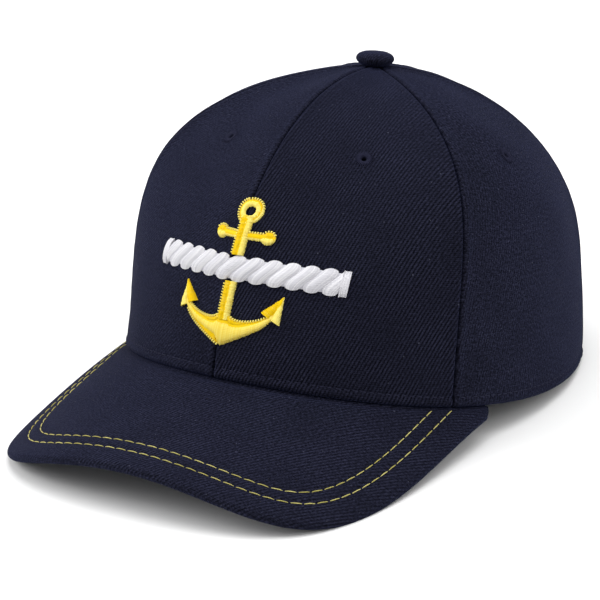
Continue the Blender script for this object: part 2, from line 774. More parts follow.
# %% [markdown]
# The rim is measured once, as a line of places. How far a place lies inside it decides where
# the board rounds off and where the rows of stitches run.

# %% The peak's rim


def rim(side):
    """The front edge on the flat board, for side from -1 to 1."""
    turn = np.asarray(side, float) * PEAK["ends"] * math.pi / 2
    power = 2 / PEAK["squareness"]
    across = PEAK["half_width"] * np.sign(turn) * np.abs(np.sin(turn)) ** power
    return across, PEAK["reach"] * np.cos(turn) ** power


RIM_SIDES = np.sin(np.linspace(-math.pi / 2, math.pi / 2, 1601))
RIM_LINE = np.stack(rim(RIM_SIDES), -1)
RIM_ARCS = arcs_along(RIM_LINE)
RIM_AHEAD = unit(np.gradient(RIM_LINE, axis=0))
# So many places at a time are measured, to save memory.
AT_ONCE = 2000


def rim_distance(across, forward):
    """How far flat places are from the rim, and which place of the rim is nearest."""
    places = np.stack([across, forward], -1)
    nearest = np.empty(len(places), int)
    for start in range(0, len(places), AT_ONCE):
        some = slice(start, start + AT_ONCE)
        apart = np.linalg.norm(places[some, None] - RIM_LINE[None, ::2], axis=2)
        nearest[some] = apart.argmin(axis=1) * 2
    away, ahead = places - RIM_LINE[nearest], RIM_AHEAD[nearest]
    return np.abs(away[:, 0] * ahead[:, 1] - away[:, 1] * ahead[:, 0]), nearest


print("rim", round(RIM_ARCS[-1], 1), "mm long")

# %% [markdown]
# The cloth is drawn tight over the board, so its relief is low. The same rule gives the upper
# face, and with under=True the plain lower one. The grid runs from the hem to the rim, and its
# points crowd near the rim, where the board rounds off.

# %% How the peak's cloth lies
ROW_INSETS = (9.9, 15.1)
ROW_PITCH = 5.0
PEAK_COLUMNS = 220
PEAK_ROWS = 90
LIP_ROWS = 5
LIP_SHARE = LIP_ROWS / PEAK_ROWS
NEAR_RIM = 0.88


def board_lift(across, forward, hem, gap):
    """How far the board rises near the crown to meet its hem."""
    flat = board(across, forward)
    away = np.hypot(flat[..., 0] - hem[..., 0], flat[..., 1] - hem[..., 1])
    return gap * np.maximum(1 - away / PEAK["blend"], 0) ** 2


def crowded(share, length):
    """Shares of the way to the rim, with the last rows close together near it."""
    near = np.minimum(3 / length, 0.3)
    last = np.clip((share - NEAR_RIM) / (1 - NEAR_RIM), 0, 1)
    return np.where(share < NEAR_RIM, share / NEAR_RIM * (1 - near), 1 - near * (1 - last) ** 2)


def peak_relief(inset, along, across, forward, from_hem):
    """The round rim, a groove under each row of stitches, and soft swells between them."""
    relief = -roll(inset, PEAK["thickness"] / 2)
    for row in ROW_INSETS:
        stitch = 0.75 + 0.25 * np.cos(2 * math.pi * along / ROW_PITCH)
        relief -= 0.3 * bell(inset - row, 0.9) * stitch
    relief += 0.18 * bell(inset - sum(ROW_INSETS) / 2, 1.6) + 0.2 * bell(inset - 5, 3)
    relief += 0.12 * np.sin(across / 11 + 1) * np.sin(forward / 9) * np.clip(inset / 8, 0, 1)
    return relief - 0.6 * bell(from_hem, 1.8)


def peak_rule(x, y, under=False):
    even = np.interp(x * RIM_ARCS[-1], RIM_ARCS, RIM_SIDES)
    side = 0.75 * even + 0.25 * (2 * x - 1)
    theta = np.radians(PEAK["end_angle"]) * side
    hem = crown(theta, 0)
    lip_z = hem[:, 2] - GAP
    root_across, root_forward = on_board(hem)
    gap = lip_z - board(root_across, root_forward)[:, 2]
    rim_across, rim_forward = rim(side)
    share = np.clip((y - LIP_SHARE) / (1 - LIP_SHARE), 0, 1)
    share = crowded(share, np.hypot(rim_across - root_across, rim_forward - root_forward))
    across = lerp(root_across, rim_across, share)
    forward = lerp(root_forward, rim_forward, share)
    inset, nearest = rim_distance(across, forward)
    from_hem = np.hypot(across - root_across, forward - root_forward)
    relief = peak_relief(inset, RIM_ARCS[nearest], across, forward, from_hem)
    if under:
        relief = roll(inset, PEAK["thickness"] / 2) - PEAK["thickness"]
    places = board(across, forward) + board_normal(across) * relief[:, None]
    places[:, 2] += board_lift(across, forward, hem, gap)
    inward = PEAK["lip"] * (1 - np.clip(y / LIP_SHARE, 0, 1))
    lip = hem - crown_normal(theta, 0) * inward[:, None]
    lip[:, 2] = lip_z
    on_lip = y < LIP_SHARE - 1e-6
    places[on_lip] = lip[on_lip]
    lip_across, lip_forward = on_board(lip)
    across[on_lip], forward[on_lip] = lip_across[on_lip], lip_forward[on_lip]
    return places, np.stack([across, forward], -1)


print("rows of stitches", ROW_INSETS, "mm inside the rim")

# %% Make the peak


def fold_weave(obj):
    """Carries the peak's weave on round its rim, as far as the rim is thick."""
    spots = upright(points_of(obj.data))
    across, forward = on_board(spots)
    below = np.maximum(board(across, forward)[:, 2] - spots[:, 2], 0)
    distance, nearest = rim_distance(across, forward)
    outward_way = np.stack([-RIM_AHEAD[nearest, 1], RIM_AHEAD[nearest, 0]], -1)
    near = np.clip(3 - distance, 0, 1)[:, None]
    lay_weave(obj.data, np.stack([across, forward], -1) + outward_way * below[:, None] * near)


def make_peak():
    obj = grid_sheet("peak_cloth", PEAK_COLUMNS, PEAK_ROWS, peak_rule)
    up = sum(p.normal.z * p.area for p in obj.data.polygons)
    if up < 0:
        obj.data.flip_normals()
    thicken(obj, PEAK["thickness"])
    relay_inner_face(obj, PEAK_COLUMNS, PEAK_ROWS, lambda x, y: peak_rule(x, y, under=True), LIP_ROWS)
    fold_weave(obj)
    return settle(obj, TWILLS["peak"], "peak_twill", "peak")


peak = make_peak()

# %% [markdown]
# A cylinder with rings along it serves for every long round thing: the tape and all the
# threads. Its points give a place round the section and a share along the length. One length
# of thread is made here, and its points are used again for every thread on the cap.

# %% Round lengths


def round_length(name, sides, rings):
    """A closed cylinder of unit length up from the origin, cut into rings."""
    deselect()
    bpy.ops.mesh.primitive_cylinder_add(vertices=sides, radius=1, depth=1, location=(0, 0, 0.5))
    obj = bpy.context.active_object
    obj.name = name
    bpy.ops.object.transform_apply(location=True, rotation=True, scale=True)
    bpy.ops.object.mode_set(mode="EDIT")
    bpy.ops.mesh.select_mode(type="EDGE")
    bpy.ops.mesh.select_all(action="DESELECT")
    bpy.ops.object.mode_set(mode="OBJECT")
    spots = points_of(obj.data)
    for edge in obj.data.edges:
        low, high = sorted(spots[number, 2] for number in edge.vertices)
        edge.select = bool(high - low > 0.5)
    bpy.ops.object.mode_set(mode="EDIT")
    bpy.ops.mesh.subdivide(number_cuts=rings - 1)
    bpy.ops.mesh.select_mode(type="VERT")
    bpy.ops.object.mode_set(mode="OBJECT")
    return obj


def outward(obj):
    pick(obj)
    bpy.ops.object.mode_set(mode="EDIT")
    bpy.ops.mesh.select_all(action="SELECT")
    bpy.ops.mesh.normals_make_consistent(inside=False)
    bpy.ops.object.mode_set(mode="OBJECT")


THREAD_SIDES = 6
THREAD_RINGS = 7
template = round_length("thread_template", THREAD_SIDES, THREAD_RINGS)
THREAD_POINTS = points_of(template.data)
THREAD_FACES = [tuple(p.vertices) for p in template.data.polygons]
bpy.data.objects.remove(template)
print("one length of thread has", len(THREAD_FACES), "faces")

# %% [markdown]
# A narrow tape is folded over the cut edge of the arch behind and sewn down, so it ripples a
# little. It is one round length, squared in section and bent along the arch.

# %% The arch's tape
TAPE = {"width": 1.4, "depth": 3.2, "sides": 14, "rings": 130, "squareness": 0.65,
        "ripple": 0.12, "ripple_pitch": 2.4}


def back_of_crown(x, z):
    """The angle and level of the crown's back at places seen from behind."""
    near, far = np.full(len(x), math.pi / 2), np.full(len(x), math.pi)
    for _ in range(40):
        theta = (near + far) / 2
        hem = station("hem", theta)
        level = np.clip((z - hem) / (CROWN_HEIGHT - hem), 0, 0.95)
        wide = crown(theta, level)[:, 0] > np.abs(x)
        near, far = np.where(wide, theta, near), np.where(wide, far, theta)
    return np.where(x < 0, -theta, theta), level


def make_tape():
    obj = round_length("arch_tape_cloth", TAPE["sides"], TAPE["rings"])
    spots = points_of(obj.data)
    turn = np.arctan2(spots[:, 1], spots[:, 0])
    radius = np.hypot(spots[:, 0], spots[:, 1])
    section = [np.sign(f) * np.abs(f) ** TAPE["squareness"] * radius for f in (np.cos(turn), np.sin(turn))]
    outer, inner = (np.stack(arch_line(inset, 120), -1) for inset in (GAP, GAP + TAPE["width"]))
    arcs = arcs_along(outer)
    at = spots[:, 2] * arcs[-1]
    share = (section[0] + 1)[:, None] / 2
    place = at_arcs(outer, arcs, at) * (1 - share) + at_arcs(inner, arcs, at) * share
    place[:, 1] = np.maximum(place[:, 1], station("hem", math.pi) - 1)
    theta, level = back_of_crown(place[:, 0], place[:, 1])
    ripple = TAPE["ripple"] * np.sin(at * 2 * math.pi / TAPE["ripple_pitch"]) * (np.abs(section[0]) < 0.8)
    places = off_crown(theta, level, section[1] * (TAPE["depth"] / 2 + ripple) - WALL / 2)
    places[:, 0] = place[:, 0]
    move_points(obj.data, on_table(places))
    outward(obj)
    lay_weave(obj.data, points_of(obj.data)[:, [0, 2]] / MM)
    settle(obj, TWILLS["band"], "band_cotton", "arch_tape")


make_tape()

# %% [markdown]
# Inside, a sweatband runs round the hem as far as the strap's ends, and the strap closes the
# arch at its foot. Like the tape they are plain, because the photograph shows only the front.
# Both are strips of cloth that follow the inside of the crown, with rounded edges.

# %% Sweatband and strap
BAND = {"thickness": 1.2, "low": 1.2, "high": 32, "half_angle": 144, "edge": 0.4, "segments": 2}
STRAP = {"thickness": 2.4, "low": 1.6, "high": 22, "half_angle": 34, "edge": 0.9, "segments": 3}
STRAP_ROWS = (STRAP["low"] + 2.6, STRAP["high"] - 2.6)
INSIDE = WALL + 2 * GAP
# The mean radius of the band turns angles into lengths along it.
BAND_RADIUS = 88
SHARP = math.radians(60)


def level_at(theta, height):
    return height / (CROWN_HEIGHT - station("hem", theta))


def band_relief(along, height):
    ease = np.clip((height - BAND["low"]) / 2, 0, 1)
    return -0.25 + 0.16 * np.sin(along / 23) * ease + 0.12 * np.sin(along / 7 + height / 9)


def strap_relief(along, height):
    return -0.22 * sum(bell(height - row, 0.6) for row in STRAP_ROWS)


def make_strip(name, columns, rows, size, centre, relief):
    """A strip of cloth inside the crown, round from a middle angle, with rounded edges."""
    def rule(x, y):
        turn = math.radians(size["half_angle"]) * (2 * x - 1)
        theta = np.arctan2(np.sin(centre + turn), np.cos(centre + turn))
        along, height = turn * BAND_RADIUS, lerp(size["low"], size["high"], y)
        off = relief(along, height) - INSIDE
        return off_crown(theta, level_at(theta, height), off), np.stack([along, height], -1)

    obj = grid_sheet(name, columns, rows, rule)
    face_outwards(obj)
    thicken(obj, size["thickness"])
    apply_modifier(obj, "BEVEL", width=size["edge"] * MM, segments=size["segments"],
                   limit_method="ANGLE", angle_limit=SHARP, loop_slide=True)
    return obj


band = make_strip("sweatband_cloth", 260, 22, BAND, 0, band_relief)
settle(band, TWILLS["band"], "band_cotton", "sweatband")
strap = make_strip("back_strap_cloth", 110, 56, STRAP, math.pi, strap_relief)
settle(strap, TWILLS["strap"], "navy_twill", "back_strap")

# %% [markdown]
# The button is a small disc with a round edge, covered in the same cloth. Its section is a
# table of places from the top of the dome down to the stem, which goes through the opening
# where the six panels meet. The cloth is gathered under the edge.

# %% The button
BUTTON_SECTION = [
    (90, 0.0, 5.4), (72, 2.8, 5.3), (54, 5.0, 4.95), (38, 6.4, 4.3), (22, 7.2, 3.4), (8, 7.4, 2.6),
    (-8, 7.2, 1.8), (-22, 6.6, 1.1), (-36, 5.8, 0.6), (-50, 5.2, 0.1), (-60, 2.2, 0.0), (-76, 2.2, -3.4),
    (-90, 0.0, -3.4),
]


def make_button():
    deselect()
    bpy.ops.mesh.primitive_uv_sphere_add(segments=56, ring_count=36, radius=1)
    obj = bpy.context.active_object
    obj.name = "button_cloth"
    spots = points_of(obj.data)
    polar = np.degrees(np.arcsin(np.clip(spots[:, 2], -1, 1)))
    azimuth = np.arctan2(spots[:, 1], spots[:, 0])
    table = np.array(BUTTON_SECTION[::-1])
    radius = np.interp(polar, table[:, 0], table[:, 1])
    height = np.interp(polar, table[:, 0], table[:, 2])
    radius += 0.08 * np.sin(16 * azimuth + 2 * np.sin(3 * azimuth)) * bell(polar + 24, 12)
    arc = radius + np.maximum(4.2 - height, 0) * 0.9
    places = np.stack([radius * np.cos(azimuth), radius * np.sin(azimuth) + APEX_Y,
                       height + CROWN_HEIGHT + GAP], -1)
    move_points(obj.data, on_table(places))
    lay_weave(obj.data, np.stack([arc * np.cos(azimuth), arc * np.sin(azimuth)], -1))
    settle(obj, TWILLS["button"], "navy_twill", "button")


make_button()

# %% [markdown]
# Threads are thin round lengths. The one that was made is laid along each path, so that a
# whole row or a whole filled shape becomes one piece. A thread carries a tone, which its
# material turns into a shade between two of the same dye, and its own weave coordinates, which
# turn its plies round it.

# %% Laying threads
THREAD_TAPER = 0.35


def lay_threads(name, material, slot, nodes, paths, normals, radii, tones=None, taper=THREAD_TAPER):
    """One piece made of many threads. paths and normals hold a place and a normal per step."""
    paths, normals = np.asarray(paths, float), np.asarray(normals, float)
    count, steps = paths.shape[:2]
    radii = np.broadcast_to(np.asarray(radii, float), (count,))
    tones = np.zeros(count) if tones is None else np.asarray(tones, float)
    share = THREAD_POINTS[:, 2]
    at = share * (steps - 1)
    low = np.minimum(at.astype(int), steps - 2)
    part = (at - low)[None, :, None]
    centres = paths[:, low] * (1 - part) + paths[:, low + 1] * part
    tangents = unit(paths[:, low + 1] - paths[:, low])
    sides = unit(np.cross(tangents, normals[:, low]))
    ups = np.cross(sides, tangents)
    slim = taper + (1 - taper) * np.sin(math.pi * np.clip(share, 0.0, 1.0)) ** 0.5
    thick = radii[:, None, None] * slim[None, :, None]
    places = centres + (sides * THREAD_POINTS[None, :, :1] + ups * THREAD_POINTS[None, :, 1:2]) * thick
    per = len(THREAD_POINTS)
    mesh = bpy.data.meshes.new(name)
    faces = [tuple(v + i * per for v in face) for i in range(count) for face in THREAD_FACES]
    mesh.from_pydata(on_table(places.reshape(-1, 3)).tolist(), [], faces)
    tone = mesh.attributes.new("tone", "FLOAT", "POINT")
    tone.data.foreach_set("value", np.repeat(tones, per))
    lengths = np.linalg.norm(np.diff(paths, axis=1), axis=2).sum(axis=1)
    turn = np.arctan2(THREAD_POINTS[:, 1], THREAD_POINTS[:, 0])
    weave = np.stack([turn[None] * radii[:, None], share[None] * lengths[:, None]], -1)
    lay_weave(mesh, weave.reshape(-1, 2))
    obj = bpy.data.objects.new(name, mesh)
    bpy.context.collection.objects.link(obj)
    outward(obj)
    settle(obj, material, slot, *nodes)


print("a thread's ends are", THREAD_TAPER, "as thick as its middle")

# %% [markdown]
# Rayon and polyester thread shine softly, the navy and the olive ones least. The plies are fine
# slanting waves, half a millimetre apart, that only a close view shows.

# %% Thread in two shades
PLY_PITCH = 0.5


def thread(name, deep, pale, roughness=0.45, specular=0.3):
    """Twisted thread in two shades, mixed by the tone of each length."""
    material, tree = new_material(name)
    tone = add_node(tree, "ShaderNodeAttribute", {"attribute_name": "tone"}).outputs["Fac"]
    weave = add_node(tree, "ShaderNodeUVMap", {"uv_map": "weave"}).outputs[0]
    plies = add_node(tree, "ShaderNodeTexWave", {"bands_direction": "DIAGONAL"}, Vector=weave,
                     Scale=WAVE_UNIT / PLY_PITCH, Distortion=0.3)
    base = add_node(tree, "ShaderNodeMix", {"data_type": "RGBA"}, Factor=tone,
                    _6=hex_colour(deep), _7=hex_colour(pale))
    bump = add_node(tree, "ShaderNodeBump", Height=plies.outputs["Fac"], Strength=0.6, Distance=0.05 * MM)
    surface = add_node(tree, "ShaderNodeBsdfPrincipled", Base_Color=base.outputs[2],
                       Normal=bump.outputs[0], Roughness=roughness, Specular_IOR_Level=specular)
    add_node(tree, "ShaderNodeOutputMaterial", Surface=surface.outputs[0])
    return material


THREADS = {
    "gold": thread("gold_rayon_thread", "#e5bf00", "#eedf78", specular=0.1),
    "peak": thread("olive_gold_thread", "#9d944a", "#bfb670", roughness=0.6),
    "white": thread("white_rayon_thread", "#bbbac2", "#dedde0"),
    "navy": thread("navy_polyester_thread", "#222334", "#2b2c3d", roughness=0.85, specular=0.04),
}
print("threads", sorted(THREADS))

# %% [markdown]
# Two rows of olive gold stitches follow the peak's rim. Each stitch lies on the cloth, a little
# sunk, and bows up between its ends.

# %% Peak stitches
STITCH = {"length": 4.8, "radius": 0.2, "bow": [-0.2, 0.14, 0.22, 0.22, 0.14, -0.2]}
DROP = 25.0
random.seed(7)


def row_line(inset):
    """A line at one distance inside the rim, on the flat board, from hem to hem."""
    inner = RIM_LINE + np.stack([RIM_AHEAD[:, 1], -RIM_AHEAD[:, 0]], -1) * inset
    distance, _ = rim_distance(inner[:, 0], inner[:, 1])
    hem_across, hem_forward = on_board(crown(np.radians(np.linspace(-75, 75, 301)), 0))
    in_front = inner[:, 1] > np.interp(inner[:, 0], hem_across, hem_forward) + 0.4
    return inner[(distance > inset - 0.15) & in_front]


def settle_on(obj, places, normals):
    """Drops places onto an object along their normals, back in cap millimetres."""
    dropped = []
    for place, normal in zip(places, normals):
        start = Vector(on_table(place + normal * DROP))
        hit, spot, _, _ = obj.ray_cast(start, -Vector(turned(normal)), distance=2 * DROP * MM)
        dropped.append(upright(spot) if hit else place)
    return np.array(dropped)


def stitch_steps(line):
    """For each stitch in a row, the places of its steps on the flat board."""
    arcs = arcs_along(line)
    count = int(arcs[-1] // ROW_PITCH)
    first = (arcs[-1] - count * ROW_PITCH) / 2 + (ROW_PITCH - STITCH["length"]) / 2
    steps = np.linspace(0, STITCH["length"], len(STITCH["bow"]))
    return [at_arcs(line, arcs, first + i * ROW_PITCH + steps) for i in range(count)]


def make_peak_stitches():
    paths, normals = [], []
    bow = np.array(STITCH["bow"])[:, None]
    for inset in ROW_INSETS:
        for across, forward in (flat.T for flat in stitch_steps(row_line(inset))):
            ups = board_normal(across)
            paths.append(settle_on(peak, board(across, forward), ups) + ups * bow)
            normals.append(ups)
    tones = [random.random() for _ in paths]
    lay_threads("peak_stitches", THREADS["peak"], "gold_thread", [], paths, normals,
                STITCH["radius"], tones)


make_peak_stitches()

# %% [markdown]
# The hem is turned up inside and sewn down by one row in thread of the cloth's own colour. It
# runs round in a shallow groove, skips the seams, and stops at the edges of the arch behind.

# %% Hem stitches
HEM_STITCH = {"length": 2.5, "radius": 0.17, "reach": 151, "bow": [-0.16, 0.08, 0.14, 0.14, 0.08, -0.16]}
# The mean radius of the hem turns angles into lengths along it.
HEM_RADIUS = 90
SEAM_CLEAR = 0.8


def make_hem_stitches():
    paths, normals = [], []
    turns = np.radians(np.linspace(-HEM_STITCH["reach"], HEM_STITCH["reach"], 1200))
    line = crown(turns, level_at(turns, HEM["fold"]))
    arcs = arcs_along(line)
    bow = np.array(HEM_STITCH["bow"])
    steps = np.linspace(0, HEM_STITCH["length"], len(bow))
    for first in np.arange(0.4, arcs[-1] - HEM_STITCH["length"], HEM["pitch"]):
        theta = np.interp(first + steps, arcs, turns)
        from_seam = np.abs(theta / SIXTH - np.round(theta / SIXTH)).min() * SIXTH * HEM_RADIUS
        if from_seam < SEAM_CLEAR:
            continue
        level = level_at(theta, HEM["fold"])
        paths.append(off_crown(theta, level, bow - HEM["groove"]))
        normals.append(crown_normal(theta, level))
    lay_threads("hem_stitches", THREADS["navy"], "navy_thread", [], paths, normals,
                HEM_STITCH["radius"], np.ones(len(paths)))


make_hem_stitches()

# %% [markdown]
# Each eyelet is a ring of buttonhole stitches: short threads that come up through the hole, bow
# over its edge and go down into the cloth all round. They are navy like the cloth, so they
# show only as small raised rings.

# %% Eyelets
RING = {"threads": 30, "bore": 0.95, "radius": 0.24}
RING_SECTION = [(0.0, -1.3), (0.1, -0.4), (0.5, 0.12), (1.2, 0.28), (1.9, 0.2), (2.6, -0.2)]


def make_eyelet(panel_name, node):
    theta, level = eyelet_place(panel_name)
    centre, normal = crown(theta, level), crown_normal(theta, level)
    sideways = unit(np.cross([0, 0, 1], normal))
    ahead = np.cross(normal, sideways)
    paths, normals = [], []
    for i in range(RING["threads"]):
        turn = 2 * math.pi * i / RING["threads"]
        out = sideways * math.cos(turn) + ahead * math.sin(turn)
        path = [centre + out * (RING["bore"] + r) + normal * h for r, h in RING_SECTION]
        paths.append(path)
        normals.append([normal * 0.9 - out * 0.4] * len(path))
    lay_threads("eyelet_" + panel_name, THREADS["navy"], "navy_thread", [node], paths, normals,
                RING["radius"])


for name in PANELS:
    make_eyelet(name, name.replace("_", "_eyelet_"))

# %% [markdown]
# The embroidery is drawn on the front of the crown in real millimetres: across from the front
# seam, and above the hem along the cloth. A table of the crown's angles, measured once, turns
# such a pair into a place.

# %% Places on the front
FRONT = {"wide": 55, "columns": 220, "high": 80, "rows": 160}
FRONT_LEVELS = np.linspace(0, 0.97, 1000)
FRONT_ARCS = arcs_along(crown(np.zeros(1000), FRONT_LEVELS))


def angle_rows():
    """For heights up the front, the crown's angle at each distance across."""
    angles = np.linspace(0, 1.2, 500)
    steps = np.linspace(0, FRONT["wide"], FRONT["columns"] + 1)
    heights = np.linspace(0, FRONT["high"], FRONT["rows"] + 1)
    levels = np.interp(heights, FRONT_ARCS, FRONT_LEVELS)
    lines = [crown(angles, np.full(500, level)) for level in levels]
    return np.array([np.interp(steps, arcs_along(line), angles) for line in lines])


ANGLE_ROWS = angle_rows()


def on_front(places, off):
    """Places on the crown's front, and their normals, from (across, above) pairs."""
    across, above = np.moveaxis(np.asarray(places, float), -1, 0)
    row = above / FRONT["high"] * FRONT["rows"]
    column = np.abs(across) / FRONT["wide"] * FRONT["columns"]
    r = np.minimum(row.astype(int), FRONT["rows"] - 1)
    c = np.minimum(column.astype(int), FRONT["columns"] - 1)
    near = lerp(ANGLE_ROWS[r, c], ANGLE_ROWS[r, c + 1], column - c)
    far = lerp(ANGLE_ROWS[r + 1, c], ANGLE_ROWS[r + 1, c + 1], column - c)
    theta = lerp(near, far, row - r) * np.sign(across)
    level = np.interp(above, FRONT_ARCS, FRONT_LEVELS)
    normal = crown_normal(theta, level)
    return crown(theta, level) + normal * np.asarray(off, float)[..., None], normal


print("front seam", round(FRONT_ARCS[-1], 1), "mm long")

# %% [markdown]
# Satin stitch fills a shape with threads side by side, each from one edge to the other over a
# low pad, so every filled shape is a row of edge pairs. The ends come out a little uneven, as
# they do from a machine, and no two threads have quite the same tone.

# %% Satin stitch
SATIN = {"pitch": 0.46, "radius": 0.27, "foot": 0.1, "steps": 8, "taper": 0.7}
PAD = {"pitch": 0.8, "foot": 0.05, "inset": 0.06, "thickness": 0.3}


def edge_pairs(first, second):
    """Pairs of places, one on each edge, from two edges given as (across, above)."""
    return np.stack([np.stack(np.broadcast_arrays(*edge), -1) for edge in (first, second)], 1)


def spaced(edges, pitch):
    """Edge pairs at an even spacing, from a shorter table of edge pairs."""
    edges = np.asarray(edges, float)
    arcs = arcs_along(edges.mean(axis=1))
    outer = max(arcs_along(edges[:, e])[-1] for e in (0, 1))
    at = np.linspace(0, arcs[-1], max(int(outer / pitch), 2))
    return np.stack([at_arcs(edges[:, e], arcs, at) for e in (0, 1)], 1)


def arched(share):
    """The rounded section of a fill, from 0 at its edges to 1 in the middle."""
    return (1 - np.abs(2 * share - 1) ** 2.6) ** 0.5


def satin(edges, tone, bow):
    """Threads over a shape: their paths, normals and tones."""
    pairs = spaced(edges, SATIN["pitch"])
    share = np.linspace(0, 1, SATIN["steps"])[None, :, None]
    rough = np.array([[random.uniform(-0.12, 0.12), random.uniform(-0.12, 0.12)] for _ in pairs])
    way = unit(pairs[:, 1] - pairs[:, 0])
    starts, ends = pairs[:, 0] - way * rough[:, :1], pairs[:, 1] + way * rough[:, 1:]
    full = np.clip(np.linalg.norm(ends - starts, axis=1) / 3, 0.35, 1)[:, None]
    lift = SATIN["foot"] + (bow - SATIN["foot"]) * arched(share[..., 0]) * full
    places, normals = on_front(starts[:, None] * (1 - share) + ends[:, None] * share, lift)
    tones = np.clip([tone + random.uniform(-0.22, 0.18) for _ in pairs], 0, 1)
    return places, normals, tones


def embroider(name, material, slot, nodes, fills, radius=SATIN["radius"]):
    """One piece from several fills of threads."""
    paths, normals, tones = (np.concatenate([fill[part] for fill in fills]) for part in (0, 1, 2))
    lay_threads(name, material, slot, nodes, paths, normals, radius, tones, taper=SATIN["taper"])


def pad(name, edges, top, material, slot, columns=6):
    """A low solid pad under a fill, from a grid laid over its edge pairs."""
    pairs = spaced(edges, PAD["pitch"])
    rows = len(pairs)

    def rule(x, y):
        at = y * (rows - 1)
        low = np.minimum(at.astype(int), rows - 2)
        part = (at - low)[:, None, None]
        ends = pairs[low] * (1 - part) + pairs[low + 1] * part
        share = lerp(PAD["inset"], 1 - PAD["inset"], x[:, None])
        flat = ends[:, 0] * (1 - share) + ends[:, 1] * share
        return on_front(flat, lerp(PAD["foot"], top, arched(x)))[0], flat

    obj = grid_sheet(name, columns, rows, rule)
    face_outwards(obj)
    thicken(obj, PAD["thickness"])
    settle(obj, material, slot)


print("a filled shape has a thread each", SATIN["pitch"], "mm")

# %% [markdown]
# The anchor is shaded by its threads, not by light alone. Deep gold runs down the left of the
# shank, along the top of the stock and round the inner edges of the arms, and the paler gold
# beside it looks like the side that catches the light. Small pale stitches go over the deep
# gold edges like beads, and the deep gold is held back a little to leave them room.

# %% The anchor's measures
ANCHOR_ACROSS = 1.3
RING_SHAPE = {"above": 62.7, "outer": 5.0, "middle": 3.8, "inner": 2.0}
SHANK = {"top": 60.4, "bottom": 22.0, "half": 2.2}
STOCK = {"above": 53.3, "half": 9.9, "bar": 1.4, "ball": 2.6}
ARM = {"half": 18.5, "tip": 12.2, "crown": 22.0, "low": 24.2, "high": 26.8, "band": 2.4, "elbow": 2.5}
FILLET = {"rise": 1.8, "reach": 1.5}
FLUKE = {"tip": (21.2, 33.0), "outer": (21.6, 22.9), "inner": (14.0, 26.6), "root": (18.0, 24.6)}
ROPE = {"across": 3.0, "half": 41.5, "above": 40.8, "radius": 4.8, "strands": 12, "slant": 6.0}
ROPE_CLEAR = ROPE["radius"] + GAP
print("anchor from", ARM["tip"], "to", RING_SHAPE["above"] + RING_SHAPE["outer"], "mm above the hem")

# %% The anchor's outlines


def circle_edges(inner, outer, start=0.0, end=360.0):
    turns = np.radians(np.linspace(start, end, 60))
    return edge_pairs(*[(np.cos(turns) * radius, RING_SHAPE["above"] + np.sin(turns) * radius)
                        for radius in (inner, outer)])


def arm_low(across):
    share = np.abs(across) / ARM["half"]
    return lerp(ARM["tip"], ARM["low"] - ARM["elbow"], share) + ARM["elbow"] * share ** 6


def arm_high(across):
    """The arms' upper edge, with a fillet at the shank, level at first and then up to the flukes."""
    away = np.abs(across)
    fillet = FILLET["rise"] * np.exp(-np.maximum(away - SHANK["half"], 0) / FILLET["reach"])
    return lerp(ARM["crown"], ARM["high"], (away / ARM["half"]) ** 3.4) + fillet


def arm_edges(low, high, start=-1.0, end=1.0):
    across = np.linspace(start, end, 60) * ARM["half"]
    return edge_pairs((across, low(across)), (across, high(across)))


def stock_half(across):
    """Half of the stock's width: a plain bar with a ball at each end."""
    from_end = STOCK["half"] + STOCK["ball"] - np.abs(across)
    ball = np.sqrt(np.clip(1 - (from_end / STOCK["ball"] - 1) ** 2, 0.05, 1)) * STOCK["ball"]
    neck = np.where(from_end < 2 * STOCK["ball"], ball, 0)
    return np.maximum(neck, np.where(from_end > STOCK["ball"], STOCK["bar"], 0))


def stock_edges(low, high):
    reach = STOCK["half"] + STOCK["ball"] - 0.15
    across = np.linspace(-reach, reach, 90)
    return edge_pairs(*[(across, STOCK["above"] + share * stock_half(across)) for share in (low, high)])


def straight_edges(left, right, start, end):
    above = np.linspace(start, end, 12)
    return edge_pairs((left, above), (right, above))


def fluke_edges(side, barb_key):
    """One half of a fluke, from its middle line to one barb."""
    tip, root, barb = (np.array(FLUKE[key], float) * (side, 1) for key in ("tip", "root", barb_key))
    share = np.linspace(0, 0.985, 24)[:, None]
    return np.stack([root * (1 - share) + tip * share, barb * (1 - share) + tip * share], 1)


print("arms' lower edge at the shank", arm_low(0), "mm and at the flukes", arm_low(ARM["half"]), "mm")

# %% [markdown]
# The beads lie across an outer edge, and the bands part the arms into deep and paler gold. The
# three tones are shares between the thread's two shades.

# %% Beads and bands
BEAD = {"pitch": 1.02, "reach": 0.34, "steps": 8, "foot": 0.35, "height": 0.8}
DEEP, MIDDLE, PALE = 0.02, 0.66, 0.9
HELD_BACK = 0.28
ON_EDGE = 0.15


def beads(line):
    """Small pale stitches over an edge line, apart from each other like beads."""
    arcs = arcs_along(line)
    at = np.arange(BEAD["pitch"] / 2, arcs[-1], BEAD["pitch"])
    ahead = unit(at_arcs(line, arcs, at + 0.3) - at_arcs(line, arcs, at - 0.3))
    across = np.stack([ahead[:, 1], -ahead[:, 0]], -1)
    share = np.linspace(-1, 1, BEAD["steps"])[:, None]
    flat = at_arcs(line, arcs, at)[:, None] + across[:, None] * share * BEAD["reach"]
    lift = BEAD["foot"] + BEAD["height"] * (1 - share[:, 0] ** 2) ** 0.5
    places, normals = on_front(flat, np.tile(lift, (len(at), 1)))
    return places, normals, np.ones(len(at))


def moved(line, across):
    """Edge pairs or a line, moved across the front."""
    return np.asarray(line, float) + (across, 0)


def upper_band(across):
    """The lower edge of the deep band along the arms' upper edge."""
    return arm_high(across) - ARM["band"] * np.clip(1.15 - np.abs(across) / ARM["half"], 0.1, 1)


